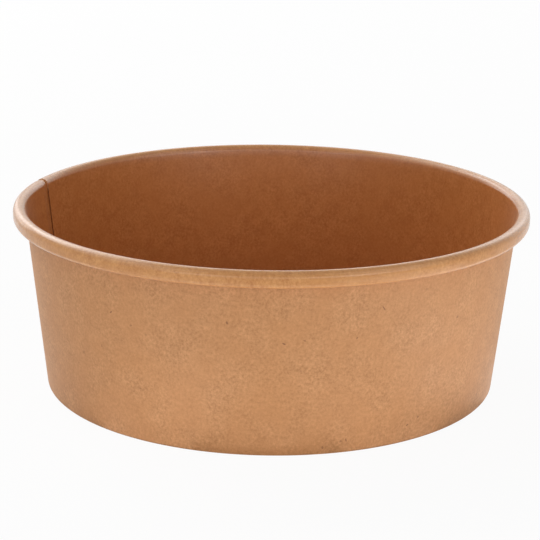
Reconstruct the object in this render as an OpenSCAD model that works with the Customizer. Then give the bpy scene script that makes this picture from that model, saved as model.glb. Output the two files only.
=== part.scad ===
// Kraft paper bowl with a rolled rim. It is made of two pieces of board: a side wall, which is a fan-shaped
// sheet wrapped into a cone and sealed to itself, and a base disc, whose turned-down skirt is held in the
// wall's folded foot. Millimetres, +Z up, the origin on the ground at the middle of the foot.

/* [Bowl] */
// Diameter over the rolled rim
rim_d = 185; // [175:0.5:200]
// Diameter of the foot at the ground, over the outside of the wall
foot_d = 163.2; // [145:0.2:168]
// Height from the ground to the top of the rim
bowl_h = 65.8; // [40:0.2:90]

/* [Board] */
// Thickness of the kraft board with its film
board_t = 0.45; // [0.35:0.01:0.5]
// Melted film left between the base's skirt and the board on each side of it
film_gap = 0.02; // [0.01:0.01:0.1]

/* [Rolled rim] */
// Width of the roll, from its inner to its outer face
rim_w = 4.7; // [4.4:0.1:5.8]
// Height of the roll, from its underside to the top of the rim
rim_h = 5.7; // [5.2:0.1:7]
// Bend radius at the roll's outer underside, at the middle of the board
rim_low_r = 1.7; // [1.2:0.1:2]
// Bend radius where the board's edge turns up inside the roll, at the middle of the board
tuck_r = 0.9; // [0.8:0.05:1.1]
// Length of board past the last bend, up to its raw edge
tuck_l = 1; // [0.6:0.1:1.5]
// Play between the tucked edge and the board beside it
tuck_gap = 0.1; // [0.05:0.05:0.4]

/* [Foot and base] */
// Height of the base's underside over the ground
base_lift = 7; // [5:0.1:12]
// Bend radius at the base's edge, at the middle of the board
base_bend_r = 0.6; // [0.4:0.05:1.5]
// Room between the hem's raw edge and the base's underside
hem_gap = 1; // [0.8:0.1:3]
// Room between the skirt's raw edge and the foot's fold
skirt_gap = 0.5; // [0.3:0.1:2]

/* [Side seam] */
// Direction of the inner ply's raw edge, in degrees from +X
seam_at = 163; // [0:1:359]
// Width of the seam, where the wall's two ends lie on each other
seam_lap = 8; // [5:0.5:14]
// Length over which the sheet steps out beside the inner ply's raw edge
seam_step = 5; // [1.2:0.2:8]
// Depth to which the films of the two plies melt together
seam_bond = 0.03; // [0.02:0.01:0.06]
// Height over the ground at which the outer ply is trimmed, so that the foot stands level
seam_trim = 1.5; // [1:0.1:4]

/* [Hidden] */
$fn = 180;
KRAFT = [0.76, 0.58, 0.43];
COATED_KRAFT = [0.62, 0.42, 0.28];
// Middle radius of the foot's fold, as a share of the board's thickness
FOLD_SHARE = 0.6;
// Largest turn between two points of a bend
BEND_STEP = 20;
// Equal steps by which the sheet climbs onto its own inner end
STEP_COUNT = 4;
// Angle by which each stretch of the sheet runs on into the next, so that they join as one solid
JOIN_DEG = 0.05;

// The wall's middle line runs from the ground to the circle of the roll's first bend, which it touches
rim_top_r = (rim_w - board_t) / 2;
roll_x = (rim_d - rim_w) / 2;
roll_z = bowl_h - rim_w / 2;
wall_foot = [foot_d / 2 - board_t / 2, 0];
to_roll = [roll_x, roll_z] - wall_foot;
lean = atan2(to_roll[1], to_roll[0]) + asin(rim_top_r / norm(to_roll));
slope = cos(lean) / sin(lean);

// The foot's fold: down along the hem, a short flat on the ground, and up into the wall
fold_r = FOLD_SHARE * board_t;
ply_pitch = board_t + film_gap;
fold_flat = 2 * (ply_pitch - fold_r) / sin(lean);
flat_end_x = wall_foot[0] + (board_t / 2 + fold_r * (1 - cos(lean))) * slope - fold_r * sin(lean);
hem_low = [flat_end_x - fold_flat - fold_r * sin(lean), board_t / 2 + fold_r * (1 + cos(lean))];
hem_l = (base_lift - hem_gap - hem_low[1]) / sin(lean);
hem_start = hem_low + hem_l * [cos(lean), sin(lean)];

// The wall, from the end of the fold to the start of the roll
wall_low_z = board_t / 2 + fold_r * (1 - cos(lean));
wall_top_z = roll_z + rim_top_r * cos(lean);
wall_l = (wall_top_z - wall_low_z) / sin(lean);

// The roll's outer side, its underside and the edge tucked up inside it
rim_side_l = rim_h - rim_w / 2 - rim_low_r - board_t / 2;
under_z = roll_z - rim_side_l - rim_low_r;
tuck_off = 2 * board_t + tuck_gap;
tuck_x = wall_foot[0] + tuck_off / sin(lean) + (under_z + tuck_r * (1 + cos(lean))) * slope + tuck_r * sin(lean);
under_l = roll_x + rim_top_r - rim_low_r - tuck_x;

// The base's edge: the disc, a bend downwards and the skirt, one ply inside the wall
base_z = base_lift + board_t / 2;
skirt_foot_x = wall_foot[0] - ply_pitch / sin(lean);
bend_low_z = base_z - base_bend_r * (1 + cos(lean));
bend_x = skirt_foot_x + bend_low_z * slope - base_bend_r * sin(lean);
skirt_l = (bend_low_z - board_t - skirt_gap) / sin(lean);

// The seam's angles, worked out at the wall's middle height
seam_r = (rim_d + foot_d) / 4;
lap_deg = seam_lap / seam_r * 180 / PI;
step_deg = seam_step / seam_r * 180 / PI;
ply_shift = board_t - seam_bond;

// A board's middle line is a list of moves. A line is [length, 0, 0] and a bend is [0, radius, turn], where a
// positive turn is to the left. A pose is [x, z, heading].

function end_of(pose, move) =
    let(h = pose[2], turned = h + move[2])
    move[2] == 0
        ? [pose[0] + move[0] * cos(h), pose[1] + move[0] * sin(h), h]
        : [pose[0] + sign(move[2]) * move[1] * (sin(turned) - sin(h)),
           pose[1] + sign(move[2]) * move[1] * (cos(h) - cos(turned)),
           turned];

function stops_in(move) = max(1, ceil(abs(move[2]) / BEND_STEP));

function trail(moves, pose, i = 0) =
    i == len(moves)
        ? [pose]
        : let(n = stops_in(moves[i]), part = moves[i] - [0, 0, moves[i][2] * (n - 1) / n])
          concat(
              [for (k = [0 : n - 1]) end_of(pose, [0, part[1], part[2] * k])],
              trail(moves, end_of(pose, moves[i]), i + 1));

function beside(pose, off) = [pose[0] - off * sin(pose[2]), pose[1] + off * cos(pose[2])];

// Closed section of a board of even thickness along a trail of poses
module board_section(poses) {
    last = len(poses) - 1;
    polygon(concat(
        [for (i = [0 : last]) beside(poses[i], board_t / 2)],
        [for (i = [last : -1 : 0]) beside(poses[i], -board_t / 2)]));
}

// The roll's moves for a ply that lies this far inside the first one
function roll_moves(shift) = [
    [0, rim_top_r - shift, -lean],
    [0, rim_top_r - shift, -90],
    [rim_side_l, 0, 0],
    [0, rim_low_r - shift, -90],
    [under_l, 0, 0],
    [0, tuck_r - shift, lean - 180],
    [tuck_l - shift, 0, 0],
];

// The whole wall, from the hem's raw edge to the edge in the roll. With a shift it lies that far on the outer
// side of the first one, and its fold still stands on the ground.
module wall_section(shift = 0) {
    raised = shift / sin(lean);
    hem_pose = end_of([hem_start[0], hem_start[1], lean - 180], [shift, 0, 0]);
    start = beside(hem_pose, -shift);
    foot_moves = [
        [hem_l - raised - shift, 0, 0],
        [0, fold_r + shift, 180 - lean],
        [fold_flat, 0, 0],
        [0, fold_r + shift, lean],
        [wall_l - raised, 0, 0],
    ];
    board_section(trail(concat(foot_moves, roll_moves(shift)), [start[0], start[1], lean - 180]));
}

// The outer ply of the seam, from its trimmed lower edge to the edge in the roll
module lap_section() {
    low = beside([wall_foot[0] + seam_trim * slope, seam_trim, lean], -ply_shift);
    lap_l = (wall_top_z - seam_trim) / sin(lean);
    board_section(trail(concat([[lap_l, 0, 0]], roll_moves(ply_shift)), [low[0], low[1], lean]));
}

module base_section() {
    board_section(trail([[bend_x, 0, 0], [0, base_bend_r, lean - 180], [skirt_l, 0, 0]], [0, base_z, 0]));
}

// Sweeps a section about the bowl's axis from one direction through an angle
module swept(from, angle) {
    rotate([0, 0, from])
        rotate_extrude(angle = angle)
            children();
}

// One sheet: hem, folded foot, wall and rolled rim. It runs once round from the inner ply's raw edge, which
// faces the rising angle. Just before it would meet that edge, it steps out by one board thickness, and it
// ends behind the inner ply, as the outer ply of the seam.
module side_wall() {
    step = step_deg / STEP_COUNT;
    color(KRAFT)
    union() {
        swept(seam_at + step_deg - JOIN_DEG, 360 - step_deg + JOIN_DEG)
            wall_section();
        for (k = [1 : STEP_COUNT])
            swept(seam_at + step_deg - k * step - JOIN_DEG, step + JOIN_DEG)
                wall_section(ply_shift * k / STEP_COUNT);
        swept(seam_at - lap_deg, lap_deg)
            lap_section();
    }
}

// The base: a flat disc with a skirt turned down between the wall and its hem
module base_disc() {
    color(COATED_KRAFT)
    rotate_extrude()
        base_section();
}

side_wall();
base_disc();
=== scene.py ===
"""The looks of a kraft paper bowl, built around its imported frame.

The bowl is two pieces of film-coated kraft board. The side wall is one sheet: folded in at the foot,
wrapped into a cone, lapped on itself at the side seam and rolled outwards into the rim. The base disc is
a flat blank with its edge turned down into the foot. Both are worked out here as sheets of even thickness,
in millimetres.
"""

import bpy
import numpy as np
from mathutils import Matrix, Vector


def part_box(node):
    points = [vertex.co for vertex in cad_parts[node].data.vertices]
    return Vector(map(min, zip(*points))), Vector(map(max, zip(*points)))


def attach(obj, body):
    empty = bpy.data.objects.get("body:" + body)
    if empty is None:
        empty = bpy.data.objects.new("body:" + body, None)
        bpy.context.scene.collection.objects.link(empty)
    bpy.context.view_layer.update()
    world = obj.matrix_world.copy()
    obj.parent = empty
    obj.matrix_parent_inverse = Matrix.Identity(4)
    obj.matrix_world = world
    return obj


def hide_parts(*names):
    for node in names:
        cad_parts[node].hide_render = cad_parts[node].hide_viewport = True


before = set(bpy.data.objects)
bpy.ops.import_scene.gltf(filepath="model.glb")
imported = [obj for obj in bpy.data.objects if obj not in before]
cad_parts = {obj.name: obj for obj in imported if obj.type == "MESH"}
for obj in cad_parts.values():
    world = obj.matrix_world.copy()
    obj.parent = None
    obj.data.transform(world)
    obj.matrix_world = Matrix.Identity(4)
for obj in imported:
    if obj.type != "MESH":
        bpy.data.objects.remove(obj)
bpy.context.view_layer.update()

MM = 0.001

# Sizes of the board and its folds that the frame's boxes don't give, in millimetres
FOOT_D = 163.2
BOARD = 0.45
FILM_GAP = 0.02
RIM_W = 4.7
RIM_H = 5.7
RIM_LOW_R = 1.7
TUCK_R = 0.9
TUCK_L = 1.0
TUCK_GAP = 0.1
FOLD_R = 0.27
HEM_GAP = 1.0
BASE_BEND_R = 0.6
SKIRT_GAP = 0.5

# The side seam: the direction of the inner ply's raw edge in degrees from +X, the width of the lap, the
# length over which the sheet steps out beside the edge, the height at which the outer ply is trimmed, the
# share of the edge's step that the rim's roll presses flat, and the gap that keeps the lapped plies apart
SEAM_AT = 163.0
SEAM_LAP = 8.0
SEAM_STEP = 5.0
SEAM_TRIM = 1.5
SEAM_PRESS = 0.6
EDGE_GAP = 0.03

# How finely the sheets are divided: around the bowl, beside the seam, over the lap and along the hem, and
# the angle in degrees from which an edge between two faces is drawn sharp
ROUND_STEPS = 360
SEAM_STEPS = 20
LAP_STEPS = 8
HEM_STEPS = 4
SHARP_DEG = 40

# The UV map that holds each point's place on the flat blank, in millimetres
BLANK_MAP = "blank"

# The same sizes from the frame: the rim's diameter, the bowl's height and the height of the base
wall_low, wall_high = (Vector(corner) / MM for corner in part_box("side_wall"))
base_high = Vector(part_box("base_disc")[1]) / MM
RIM_D = wall_high.x - wall_low.x
BOWL_H = wall_high.z
BASE_LIFT = base_high.z - BOARD


def walk(start, heading, moves):
    """Stations along a board's middle line: rows of x, z, heading and distance walked.

    A move is its length, radius, turn and number of steps. A straight one of length l adds l (cos h, sin h)
    at the heading h. A bend of radius r through the angle t, positive to the left, adds
    r sign(t) (sin(h + t) - sin h, cos h - cos(h + t)) and turns the heading by t.
    """
    rows = [np.array([[start[0], start[1], heading, 0.0]])]
    for length, radius, turn, steps in moves:
        x, z, h, gone = rows[-1][-1]
        share = np.arange(1, steps + 1) / steps
        if turn:
            now = h + turn * share
            swing = np.sign(turn) * radius
            part = [x + swing * (np.sin(now) - np.sin(h)), z + swing * (np.cos(h) - np.cos(now)), now]
            part.append(gone + abs(turn) * radius * share)
        else:
            ahead = length * share
            part = [x + ahead * np.cos(h), z + ahead * np.sin(h), np.full(steps, h), gone + ahead]
        rows.append(np.stack(part, axis=1))
    return np.concatenate(rows)


def smooth(share):
    """0 up to 0, 1 from 1 on, and 3 s squared minus 2 s cubed between."""
    s = np.clip(share, 0, 1)
    return s * s * (3 - 2 * s)


# The wall's lean: its middle line runs from the foot and touches the circle of the roll's first bend
rim_top_r = (RIM_W - BOARD) / 2
roll_x = (RIM_D - RIM_W) / 2
roll_z = BOWL_H - RIM_W / 2
foot_x = FOOT_D / 2 - BOARD / 2
to_roll = np.array([roll_x - foot_x, roll_z])
lean = np.arctan2(to_roll[1], to_roll[0]) + np.arcsin(rim_top_r / np.hypot(*to_roll))
slope = np.cos(lean) / np.sin(lean)
ply_pitch = BOARD + FILM_GAP


def wall_stations():
    """The whole side wall's section: hem, fold, wall and roll.

    Also gives the rows at which the wall begins and ends.
    """
    flat = 2 * (ply_pitch - FOLD_R) / np.sin(lean)
    flat_end_x = foot_x + (BOARD / 2 + FOLD_R * (1 - np.cos(lean))) * slope - FOLD_R * np.sin(lean)
    hem_low_x = flat_end_x - flat - FOLD_R * np.sin(lean)
    hem_low_z = BOARD / 2 + FOLD_R * (1 + np.cos(lean))
    hem_l = (BASE_LIFT - HEM_GAP - hem_low_z) / np.sin(lean)
    start = (hem_low_x + hem_l * np.cos(lean), hem_low_z + hem_l * np.sin(lean))
    wall_low_z = BOARD / 2 + FOLD_R * (1 - np.cos(lean))
    wall_l = (roll_z + rim_top_r * np.cos(lean) - wall_low_z) / np.sin(lean)
    side_l = RIM_H - RIM_W / 2 - RIM_LOW_R - BOARD / 2
    under_z = roll_z - side_l - RIM_LOW_R
    tuck_off = 2 * BOARD + TUCK_GAP
    tuck_x = foot_x + tuck_off / np.sin(lean) + (under_z + TUCK_R * (1 + np.cos(lean))) * slope
    tuck_x += TUCK_R * np.sin(lean)
    under_l = roll_x + rim_top_r - RIM_LOW_R - tuck_x
    foot = [
        (hem_l, 0, 0, HEM_STEPS),
        (0, FOLD_R, np.pi - lean, 5),
        (flat, 0, 0, 1),
        (0, FOLD_R, lean, 5),
    ]
    wall = [(wall_l, 0, 0, 26)]
    roll = [
        (0, rim_top_r, -lean, 9),
        (0, rim_top_r, -np.pi / 2, 10),
        (side_l, 0, 0, 2),
        (0, RIM_LOW_R, -np.pi / 2, 8),
        (under_l, 0, 0, 1),
        (0, TUCK_R, lean - np.pi, 6),
        (TUCK_L, 0, 0, 1),
    ]
    rows = walk(start, lean - np.pi, foot + wall + roll)
    first = sum(move[3] for move in foot)
    return rows, first, first + wall[0][3]


def sheet_mesh(name, left, right, cells, blank, ring=False):
    """A closed sheet from the grids of points on its left and right faces.

    Each cell of the mask that is set gives one face on either side, and a raw-edge face stands on each cell
    border that has no neighbour. Faces take the material 0 on the left, 1 on the right and 2 on raw edges.
    In a ring the last column joins the first. blank holds each point's place on the flat blank.
    """
    n_rows, n_cols = left.shape[:2]
    index = np.arange(n_rows * n_cols).reshape(n_rows, n_cols)
    if ring:
        index = np.concatenate([index, index[:, :1]], axis=1)
    far = n_rows * n_cols
    a, b, c, d = index[:-1, :-1], index[:-1, 1:], index[1:, 1:], index[1:, :-1]
    quads = [np.stack([corner[cells] for corner in (a, b, c, d)], axis=1)]
    quads.append(quads[0][:, ::-1] + far)
    gap = np.pad(cells, 1)
    if ring:
        gap[:, 0], gap[:, -1] = gap[:, -2], gap[:, 1]
    inner = gap[1:-1, 1:-1]
    borders = [
        (inner & ~gap[:-2, 1:-1], b, a),
        (inner & ~gap[2:, 1:-1], d, c),
        (inner & ~gap[1:-1, :-2], a, d),
        (inner & ~gap[1:-1, 2:], c, b),
    ]
    for here, start, end in borders:
        start, end = start[here], end[here]
        quads.append(np.stack([start, end, end + far, start + far], axis=1))
    material = np.repeat([0, 1, 2, 2, 2, 2], [len(q) for q in quads])
    quads = np.concatenate(quads)
    used, quads = np.unique(quads, return_inverse=True)
    quads = quads.reshape(-1, 4)
    points = np.concatenate([left.reshape(-1, 3), right.reshape(-1, 3)])[used] * MM
    mesh = bpy.data.meshes.new(name)
    mesh.from_pydata(points.tolist(), [], quads.tolist())
    mesh.polygons.foreach_set("material_index", material.astype(np.int32))
    places = np.concatenate([blank.reshape(-1, 2)] * 2)[used][quads.ravel()]
    mesh.uv_layers.new(name=BLANK_MAP)
    mesh.uv_layers[BLANK_MAP].uv.foreach_set("vector", places.astype(np.float32).ravel())
    mesh.shade_smooth()
    mesh.set_sharp_from_angle(angle=np.radians(SHARP_DEG))
    mesh.update()
    piece = bpy.data.objects.new(name, mesh)
    bpy.context.scene.collection.objects.link(piece)
    return piece


def make_side_wall():
    """The side wall: rows follow its section, columns go round with falling azimuth from the inner raw edge.

    The middle line's point at a station is moved by the ply's shift s along the right normal
    (sin h, -cos h), and up along the wall by s / sin(lean) near the foot, which keeps the fold on the
    ground. s rises smoothly from 0 to one ply over the last stretch before the turn is full, and stays
    there over the lap. Over the roll's first stretch it falls smoothly to the share 1 - SEAM_PRESS of that.
    The faces lie half a board to either side of the middle line.
    """
    rows, first, last = wall_stations()
    x, z, h, v = (column[:, None] for column in rows.T)
    seam_r = (RIM_D + FOOT_D) / 4
    fine_from = 360 - np.degrees(2 * SEAM_STEP / seam_r)
    around = np.concatenate([
        np.linspace(0, fine_from, ROUND_STEPS, endpoint=False),
        np.linspace(fine_from, 360, SEAM_STEPS, endpoint=False),
        np.linspace(360, 360 + np.degrees(SEAM_LAP / seam_r), LAP_STEPS + 1),
    ])
    turn_full = int(np.searchsorted(around, 360))
    step_from = 360 - np.degrees(SEAM_STEP / seam_r)
    shift = (BOARD + EDGE_GAP) * smooth((around - step_from) / (360 - step_from))[None, :]
    raised = shift / np.sin(lean)
    shift = shift * (1 - SEAM_PRESS * smooth((v - v[last]) / RIM_W))
    in_fold = smooth(v / v[HEM_STEPS]) * smooth((v[last] - v) / (v[last] - v[first]))
    mid_x = x + shift * np.sin(h) + raised * in_fold * np.cos(lean)
    mid_z = z - shift * np.cos(h) + raised * in_fold * np.sin(lean)

    spin = np.radians(SEAM_AT - around)[None, :]
    faces = []
    for side in (1, -1):
        r = mid_x - side * BOARD / 2 * np.sin(h)
        height = mid_z + side * BOARD / 2 * np.cos(h)
        faces.append(np.stack([r * np.cos(spin), r * np.sin(spin), height + 0 * spin], axis=2))

    trim = first + int(np.searchsorted(rows[first:last, 1], SEAM_TRIM))
    cells = np.ones((len(rows) - 1, len(around) - 1), bool)
    cells[:trim, turn_full:] = False
    return sheet_mesh("side_wall_sheet", *faces, cells, blank_places(around, v[-1] - v))


def blank_reach(below_edge):
    """How far a point lies from the middle of the flat, fan-shaped blank, in millimetres.

    A cone of lean a unrolls to the radius r / cos a. below_edge is the length of board from the point up to
    the edge inside the roll.
    """
    return RIM_D / 2 / np.cos(lean) - below_edge


def blank_places(around, below_edge):
    """Places on the flat blank, in millimetres: an azimuth unrolls to azimuth times cos a."""
    reach = blank_reach(below_edge)
    angle = np.radians(around - 180)[None, :] * np.cos(lean)
    return np.stack([reach * np.sin(angle), reach * np.cos(angle)], axis=2)


def on_blank(azimuth, height):
    """The place on the flat blank of a point of the wall, and the blank's turn there in radians."""
    rows, first, last = wall_stations()
    walked = np.interp(height, rows[first:last + 1, 1], rows[first:last + 1, 3])
    around = np.array([SEAM_AT - azimuth])
    place = blank_places(around, np.array([[rows[-1, 3] - walked]]))[0, 0]
    return place, float(np.radians(around[0] - 180) * np.cos(lean))


def make_base():
    """The base disc: rows run out from the middle, round the bend and down the skirt, columns go round."""
    base_z = BASE_LIFT + BOARD / 2
    skirt_foot_x = foot_x - ply_pitch / np.sin(lean)
    bend_low_z = base_z - BASE_BEND_R * (1 + np.cos(lean))
    bend_x = skirt_foot_x + bend_low_z * slope - BASE_BEND_R * np.sin(lean)
    skirt_l = (bend_low_z - BOARD - SKIRT_GAP) / np.sin(lean)
    moves = [
        (bend_x, 0, 0, 30),
        (0, BASE_BEND_R, lean - np.pi, 8),
        (skirt_l, 0, 0, 3),
    ]
    x, z, h, v = (column[:, None] for column in walk((0, base_z), 0, moves).T)
    spin = np.linspace(0, -2 * np.pi, ROUND_STEPS // 2, endpoint=False)[None, :]
    faces = []
    for side in (1, -1):
        r = x - side * BOARD / 2 * np.sin(h)
        height = z + side * BOARD / 2 * np.cos(h)
        faces.append(np.stack([r * np.cos(spin), r * np.sin(spin), height + 0 * spin], axis=2))
    blank = np.stack([v * np.cos(spin), v * np.sin(spin)], axis=2)
    cells = np.ones((len(x) - 1, spin.size), bool)
    return sheet_mesh("base_sheet", *faces, cells, blank, ring=True)


def linear(code):
    """A colour written as sRGB hex, as the linear RGBA that the shaders take."""
    parts = np.array([int(code[i:i + 2], 16) for i in (1, 3, 5)]) / 255
    values = np.where(parts <= 0.04045, parts / 12.92, ((parts + 0.055) / 1.055) ** 2.4)
    return (*values.tolist(), 1.0)


def add(tree, kind, inputs=(), **settings):
    """Adds a shader node.

    inputs is a dict from a socket's name or number to its value, or to the output that it takes.
    """
    made = tree.nodes.new("ShaderNode" + kind)
    for key, value in settings.items():
        setattr(made, key, value)
    for key, value in dict(inputs).items():
        if isinstance(value, bpy.types.NodeSocket):
            tree.links.new(value, made.inputs[key])
        else:
            made.inputs[key].default_value = value
    return made


def new_material(name):
    """An empty node material, and its tree."""
    material = bpy.data.materials.new(name)
    material.use_nodes = True
    material.node_tree.nodes.clear()
    return material, material.node_tree


def mixed(tree, share, first, second):
    """The colour output of a Mix node between two colours or outputs."""
    return add(tree, "Mix", {0: share, 6: first, 7: second}, data_type="RGBA").outputs[2]


def spread(tree, value, low, high, to_low=0.0, to_high=1.0):
    """value carried from the range low to high onto the range to_low to to_high."""
    inputs = {"Value": value, "From Min": low, "From Max": high, "To Min": to_low, "To Max": to_high}
    return add(tree, "MapRange", inputs).outputs[0]


def noise(tree, place, size, detail, roughness=0.6):
    """A noise whose largest lumps are about size millimetres across, on a place in millimetres."""
    inputs = {"Vector": place, "Scale": 1 / size, "Detail": detail, "Roughness": roughness}
    return add(tree, "TexNoise", inputs).outputs[0]


# Sizes of the pattern's lumps in millimetres, and their stretch along the blank. Real fibres are finer,
# 0.03 mm wide and 2 to 3 mm long, and are drawn as coarse as the picture can show them.
FIBRE_SIZE = 1.0
FIBRE_STRETCH = 0.85
CLOUD_SIZE = 4.0
DRIFT_SIZE = 13.0

# Where in the noise each board's pattern is taken from
BARE_SEED = 3.0
COATED_SEED = 41.0


def board_pattern(tree, seed):
    """What every kraft face shows: fibres, cloudy formation and a warm drift.

    Also gives the place on the flat blank, in millimetres, on which they lie.
    """
    place = add(tree, "UVMap", uv_map=BLANK_MAP).outputs[0]
    moved = add(tree, "Mapping", {0: place, 1: (0, 0, seed), 3: (1.0, FIBRE_STRETCH, 1.0)}).outputs[0]
    pattern = {
        "fibre": noise(tree, moved, FIBRE_SIZE, detail=4.0, roughness=0.75),
        "cloud": noise(tree, moved, CLOUD_SIZE, detail=3.0),
        "drift": noise(tree, moved, DRIFT_SIZE, detail=1.0),
    }
    return place, pattern


# Kraft's deep, pale and warm tones: bare, under the film, and under the film on the roll. The roll's are
# painted paler than the inside's, as painted light for the lit roll against the shaded inside of the bowl.
BARE_TONES = ("#A77241", "#CE9664", "#BD834F")
COATED_TONES = ("#AC6B39", "#C6824B", "#BA7640")
LIT_ROLL_TONES = ("#B97A42", "#D4995B", "#C98B4D")

# How strongly fibres and clouds move the colour between the deep and the pale tone, the most that a drift
# gives it of the warm tone, and the values between which nearly all of the noises lie
GRAIN = 0.6
BARE_MOTTLE = 0.25
COATED_MOTTLE = 0.4
DRIFT_MOST = 0.5
NOISE_RANGE = (0.25, 0.75)
DRIFT_RANGE = (0.35, 0.65)


def kraft_colour(tree, pattern, tones, mottle):
    """Kraft's colour: between a deep and a pale tone by fibre and cloud, with drifts towards a warm tone."""
    deep, pale, warm = (linear(tone) for tone in tones)
    speckle = spread(tree, pattern["fibre"], *NOISE_RANGE, -GRAIN, GRAIN)
    share = spread(tree, pattern["cloud"], *NOISE_RANGE, 0.5 - mottle, 0.5 + mottle)
    share = add(tree, "Math", {0: share, 1: speckle}, operation="ADD", use_clamp=True).outputs[0]
    tone = mixed(tree, share, deep, pale)
    return mixed(tree, spread(tree, pattern["drift"], *DRIFT_RANGE, 0.0, DRIFT_MOST), tone, warm)


# Scattered bark: the distance between a Voronoi texture's points and a bit's size in millimetres, the share
# of the points that carry one, the size of the bends in its outline, and how strong the strongest bit is
# beside a large one. Then, for all bark, how dark it is at most, and its tone.
BARK_APART = 6.0
BARK_SIZE = 0.9
BARK_SHARE = 0.07
BARK_BEND = 1.3
BARK_MOST = 0.9
BARK_DARK = 0.7
BARK_TONE = "#70401E"


def bark(tree, place):
    """Where scattered dark bits of bark lie: small spots at some of a Voronoi texture's points.

    A noise moves the places first, which makes the spots ragged and draws them out.
    """
    bend = add(tree, "TexNoise", {"Vector": place, "Scale": 1 / BARK_BEND, "Detail": 2.0}).outputs[1]
    inputs = {0: bend, 1: (BARK_BEND, BARK_BEND, 0.0), 2: place}
    moved = add(tree, "VectorMath", inputs, operation="MULTIPLY_ADD").outputs[0]
    inputs = {"Vector": moved, "Scale": 1 / BARK_APART}
    points = add(tree, "TexVoronoi", inputs, voronoi_dimensions="2D").outputs
    edge = BARK_SIZE / 2 / BARK_APART
    core = BARK_SIZE / 3 / BARK_APART
    spot = spread(tree, points["Distance"], edge, core)
    chance = add(tree, "SeparateColor", {0: points["Color"]}).outputs[0]
    kept = spread(tree, chance, 1 - BARK_SHARE, 1.0, 0.0, BARK_MOST)
    return add(tree, "Math", {0: spot, 1: kept}, operation="MULTIPLY").outputs[0]


# Larger dark bits of bark in the outer face: azimuth and height of the middle, length, width, and
# tilt from the upright in degrees, positive to the left as seen from outside
FLECKS = [
    (-127.1, 44.6, 1.6, 0.6, -50),
    (-99.1, 46.9, 1.3, 0.8, 20),
    (-137.7, 26.4, 1.5, 0.5, -10),
    (-87.0, 40.2, 1.5, 0.7, 60),
    (-65.2, 50.4, 2.4, 0.5, 35),
    (-55.9, 6.2, 1.5, 0.6, -60),
    (-72.0, 4.5, 1.6, 0.5, 15),
    (-71.0, 41.0, 1.0, 0.5, -30),
]

# How far from a fleck's middle it ends, and how far it is fully dark, as shares of its length and width
FLECK_EDGE = 0.5
FLECK_CORE = 0.3


def large_flecks(tree, place):
    """Where the larger bits of bark lie: 1 within an ellipse's core, falling to 0 at its edge."""
    share = 0.0
    for azimuth, height, length, width, tilt in FLECKS:
        middle, turn = on_blank(azimuth, height)
        inputs = {
            0: place,
            1: (*middle.tolist(), 0.0),
            2: (0, 0, -np.radians(tilt) - turn),
            3: (width, length, 1.0),
        }
        local = add(tree, "Mapping", inputs, vector_type="TEXTURE").outputs[0]
        reach = add(tree, "VectorMath", {0: local}, operation="LENGTH").outputs["Value"]
        inside = spread(tree, reach, FLECK_EDGE, FLECK_CORE)
        share = add(tree, "Math", {0: share, 1: inside}, operation="MAXIMUM").outputs[0]
    return share


# Height of the board's unevenness in metres, as the bumps take it
BUMP_HEIGHT = 0.00004


def make_bare_kraft():
    """Bare kraft board, machine-made from unbleached pulp: dull, warm and mottled, with fine fibres that
    catch light, a few dark bits of bark, and a soft light haze where it is seen along its surface."""
    material, tree = new_material("bare_kraft_board")
    place, pattern = board_pattern(tree, BARE_SEED)
    colour = kraft_colour(tree, pattern, BARE_TONES, BARE_MOTTLE)
    inputs = {0: large_flecks(tree, place), 1: bark(tree, place)}
    flecks = add(tree, "Math", inputs, operation="MAXIMUM").outputs[0]
    colour = mixed(tree, spread(tree, flecks, 0.0, 1.0, 0.0, BARK_DARK), colour, linear(BARK_TONE))
    bump = {"Strength": 0.25, "Distance": BUMP_HEIGHT, "Height": pattern["fibre"]}
    surface = add(tree, "BsdfPrincipled", {
        "Base Color": colour, "Roughness": 0.55, "IOR": 1.5, "Normal": add(tree, "Bump", bump).outputs[0]})
    add(tree, "OutputMaterial", {0: surface.outputs[0]})
    return material


def make_coated_kraft():
    """Kraft board under a clear polyethylene film: darker and redder than bare board, as if damp, with a
    soft gloss that turns bright where it is seen along its surface. On the rim's roll its colour is painted
    paler, as painted light for the lit roll against the shaded inside of the bowl."""
    material, tree = new_material("film_coated_kraft_board")
    place, pattern = board_pattern(tree, COATED_SEED)
    flat = kraft_colour(tree, pattern, COATED_TONES, COATED_MOTTLE)
    # The roll's paler tones are painted light: the roll lit, the inside of the bowl in shade
    lit_roll_colour = kraft_colour(tree, pattern, LIT_ROLL_TONES, COATED_MOTTLE)
    reach = add(tree, "VectorMath", {0: place}, operation="LENGTH").outputs["Value"]
    rows, _, last = wall_stations()
    roll_from = blank_reach(rows[-1, 3] - rows[last, 3])
    colour = mixed(tree, spread(tree, reach, roll_from, roll_from + RIM_W / 2), flat, lit_roll_colour)
    bump = {"Strength": 0.12, "Distance": BUMP_HEIGHT, "Height": pattern["cloud"]}
    surface = add(tree, "BsdfPrincipled", {
        "Base Color": colour, "Roughness": 0.6, "Specular IOR Level": 0.0, "IOR": 1.5,
        "Sheen Weight": 0.25, "Sheen Roughness": 0.25,
        "Coat Weight": 1.0, "Coat Roughness": 0.22, "Coat IOR": 1.5,
        "Normal": add(tree, "Bump", bump).outputs[0]})
    add(tree, "OutputMaterial", {0: surface.outputs[0]})
    return material


# Lumps in the cut edge to each metre, the noise values over which it goes from its deep to its pale tone,
# these tones, dark partly as the raw board's own brown and partly as painted shade of the seam's narrow
# step, and its paler tone on the roll, painted light that hides the step's shade there
EDGE_LUMPS = 2500.0
EDGE_RANGE = (0.35, 0.65)
EDGE_AND_SHADE_TONES = ("#7A4A25", "#96643A")
LIT_ROLL_EDGE_TONE = "#C79064"


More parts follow.
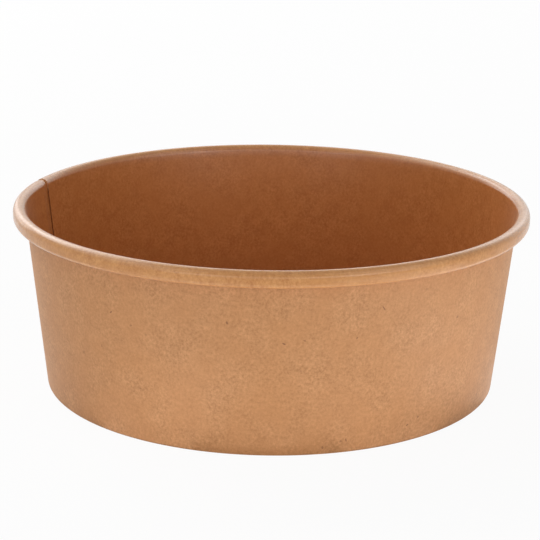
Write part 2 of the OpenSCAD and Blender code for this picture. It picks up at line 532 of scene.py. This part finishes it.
def make_raw_edge():
    """The board's cut edge: crushed fibres without film, dark brown partly of their own and partly as
    painted shade of the seam's narrow step. On the rim's roll it is painted almost as light as the board, as
    painted light that hides the step's shade there."""
    material, tree = new_material("cut_board_edge")
    place = add(tree, "TexCoord").outputs["Object"]
    fibre = add(tree, "TexNoise", {"Vector": place, "Scale": EDGE_LUMPS, "Detail": 3.0}).outputs[0]
    # The edge's dark brown is partly its own colour and partly painted shade of the seam's narrow step
    deep, pale = (linear(tone) for tone in EDGE_AND_SHADE_TONES)
    colour = mixed(tree, spread(tree, fibre, *EDGE_RANGE), deep, pale)
    # On the roll the edge is painted paler: painted light that hides the step's shade there
    height = add(tree, "SeparateXYZ", {0: place}).outputs[2]
    lit_roll_edge_share = spread(tree, height, (BOWL_H - RIM_W) * MM, (BOWL_H - RIM_W / 2) * MM)
    colour = mixed(tree, lit_roll_edge_share, colour, linear(LIT_ROLL_EDGE_TONE))
    surface = add(tree, "BsdfPrincipled", {"Base Color": colour, "Roughness": 0.9, "IOR": 1.4})
    add(tree, "OutputMaterial", {0: surface.outputs[0]})
    return material


# The floor's side in metres, the share of its seen colour that is plain white and not lit paint, and the
# strength of the surroundings' light on the bowl, where they are seen at 1
FLOOR_SIDE = 8.0
FLOOR_GLOW = 0.94
WORLD_LIGHT = 0.1


def make_floor():
    """A white floor that keeps the bowl's soft shadow, and is otherwise nearly as white as the backdrop."""
    mesh = bpy.data.meshes.new("floor")
    half = FLOOR_SIDE / 2
    corners = [(-half, -half, 0), (half, -half, 0), (half, half, 0), (-half, half, 0)]
    mesh.from_pydata(corners, [], [(0, 1, 2, 3)])
    floor = bpy.data.objects.new("floor", mesh)
    bpy.context.scene.collection.objects.link(floor)
    material, tree = new_material("white_floor")
    paint = add(tree, "BsdfDiffuse", {0: linear("#F4F4F4")}).outputs[0]
    glow = add(tree, "Emission", {0: linear("#FFFFFF"), 1: 1.0}).outputs[0]
    share = spread(tree, seen_directly(tree), 0.0, 1.0, 0.0, FLOOR_GLOW)
    surface = add(tree, "MixShader", {0: share, 1: paint, 2: glow}).outputs[0]
    add(tree, "OutputMaterial", {0: surface})
    mesh.materials.append(material)


def seen_directly(tree):
    """1 for what the camera sees, straight, in a gloss or through clear material, and 0 for other light."""
    path = add(tree, "LightPath").outputs
    inputs = {0: path["Is Camera Ray"], 1: path["Is Glossy Ray"]}
    seen = add(tree, "Math", inputs, operation="ADD").outputs[0]
    inputs = {0: seen, 1: path["Is Transmission Ray"]}
    return add(tree, "Math", inputs, operation="ADD", use_clamp=True).outputs[0]


def make_world():
    """White where it is seen, and a dimmer even light on the bowl."""
    world = bpy.data.worlds.new("studio")
    bpy.context.scene.world = world
    world.use_nodes = True
    tree = world.node_tree
    tree.nodes.clear()
    strength = spread(tree, seen_directly(tree), 0.0, 1.0, WORLD_LIGHT, 1.0)
    white = add(tree, "Background", {0: linear("#FFFFFF"), 1: strength})
    add(tree, "OutputWorld", {0: white.outputs[0]})


# Soft boxes, row by row: their middles' elevation in degrees, distance, width and height in metres, and for
# each one its direction, in degrees to the right of the viewer's side, and its brightness, where 1 is as
# bright as a white surface in the picture
SOFT_BOXES = [
    (5, 1.6, 0.8, 0.22, {-70: 0.2, -35: 0.3}),
    (16, 1.6, 0.8, 0.6, {-60: 0.6, -30: 1.6, 0: 0.95, 30: 1.65, 48: 1.3, 66: 0.5}),
    (25, 1.6, 0.9, 1.2, {-145: 1.3, 145: 0.5}),
    (28, 1.9, 2.4, 0.7, {180: 1.35}),
    (45, 2.0, 1.2, 1.2, {-140: 2.3, -100: 1.1, -60: 0.9, 60: 0.9}),
]

# Lit parts of the table around the bowl, which throw light up at the wall: how far their middles are from
# the bowl's, their side in metres, and each one's direction and brightness. They lie just above the floor.
TABLE_LIGHTS = [
    (0.24, 0.2, {-35: 0.3, 50: 1.1}),
    (0.14, 0.11, {-70: 0.1, -35: 0.4, 0: 0.5, 35: 0.4, 70: 0.5}),
]
TABLE_LIGHT_Z = 0.0005


def make_lamp(place, aim, width, height, brightness):
    """A rectangular lamp of even brightness b. Its area A then gives off pi A b watts."""
    lamp = bpy.data.lights.new("lamp", "AREA")
    lamp.shape = "RECTANGLE"
    lamp.size, lamp.size_y = width, height
    lamp.energy = np.pi * width * height * brightness
    box = bpy.data.objects.new("lamp", lamp)
    box.location = place
    box.rotation_euler = (aim - place).to_track_quat("-Z", "Y").to_euler()
    box.visible_camera = False
    bpy.context.scene.collection.objects.link(box)


def toward(direction, elevation):
    """The unit vector at so many degrees to the right of the viewer's side and above the table."""
    a, e = np.radians(direction), np.radians(elevation)
    return Vector((np.sin(a) * np.cos(e), -np.cos(a) * np.cos(e), np.sin(e)))


def make_lamps():
    """The soft boxes, which face the bowl, and the lit parts of the table, which face up."""
    aim = Vector((0, 0, BOWL_H * MM / 2))
    for elevation, distance, width, height, boxes in SOFT_BOXES:
        for direction, brightness in boxes.items():
            make_lamp(toward(direction, elevation) * distance, aim, width, height, brightness)
    for distance, side, lights in TABLE_LIGHTS:
        for direction, brightness in lights.items():
            place = toward(direction, 0) * distance + Vector((0, 0, TABLE_LIGHT_Z))
            make_lamp(place, place + Vector((0, 0, 1)), side, side, brightness)


# The photograph's camera, in millimetres and degrees: its distance from the point at the bowl's middle that
# it circles, its elevation, the point it aims at, its roll, its sensor's width and its lens
CAMERA_DISTANCE = 642.3
CAMERA_ELEVATION = 17.17
CAMERA_CIRCLES = (0, 0, 32.8)
CAMERA_AIM = (-0.29, 0, 39.08)
CAMERA_ROLL = 0.743
CAMERA_SENSOR = 36
CAMERA_LENS = 116.95


def make_camera():
    """The camera looks from the viewer's side. Its right axis is tilted up by the roll."""
    e = np.radians(CAMERA_ELEVATION)
    place = Vector(CAMERA_CIRCLES) + CAMERA_DISTANCE * Vector((0, -np.cos(e), np.sin(e)))
    ahead = (Vector(CAMERA_AIM) - place).normalized()
    level = ahead.cross(Vector((0, 0, 1))).normalized()
    above = level.cross(ahead)
    roll = np.radians(CAMERA_ROLL)
    right = level * np.cos(roll) + above * np.sin(roll)
    up = above * np.cos(roll) - level * np.sin(roll)
    camera = bpy.data.objects.new("camera", bpy.data.cameras.new("camera"))
    camera.data.sensor_width = CAMERA_SENSOR
    camera.data.lens = CAMERA_LENS
    camera.data.clip_start = 0.01
    axes = Matrix((right, up, -ahead)).transposed()
    camera.matrix_world = Matrix.Translation(place * MM) @ axes.to_4x4()
    bpy.context.scene.collection.objects.link(camera)
    bpy.context.scene.camera = camera


bare = make_bare_kraft()
coated = make_coated_kraft()
raw_edge = make_raw_edge()

wall = make_side_wall()
base = make_base()
for piece, node, slot in ((wall, "side_wall", "kraft_wall"), (base, "base_disc", "kraft_base")):
    for material in (coated, bare, raw_edge):
        piece.data.materials.append(material)
    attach(piece, "root")
    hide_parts(node)

make_floor()
make_world()
make_lamps()
make_camera()
bpy.context.scene.view_settings.view_transform = "Standard"

bpy.context.view_layer.update()
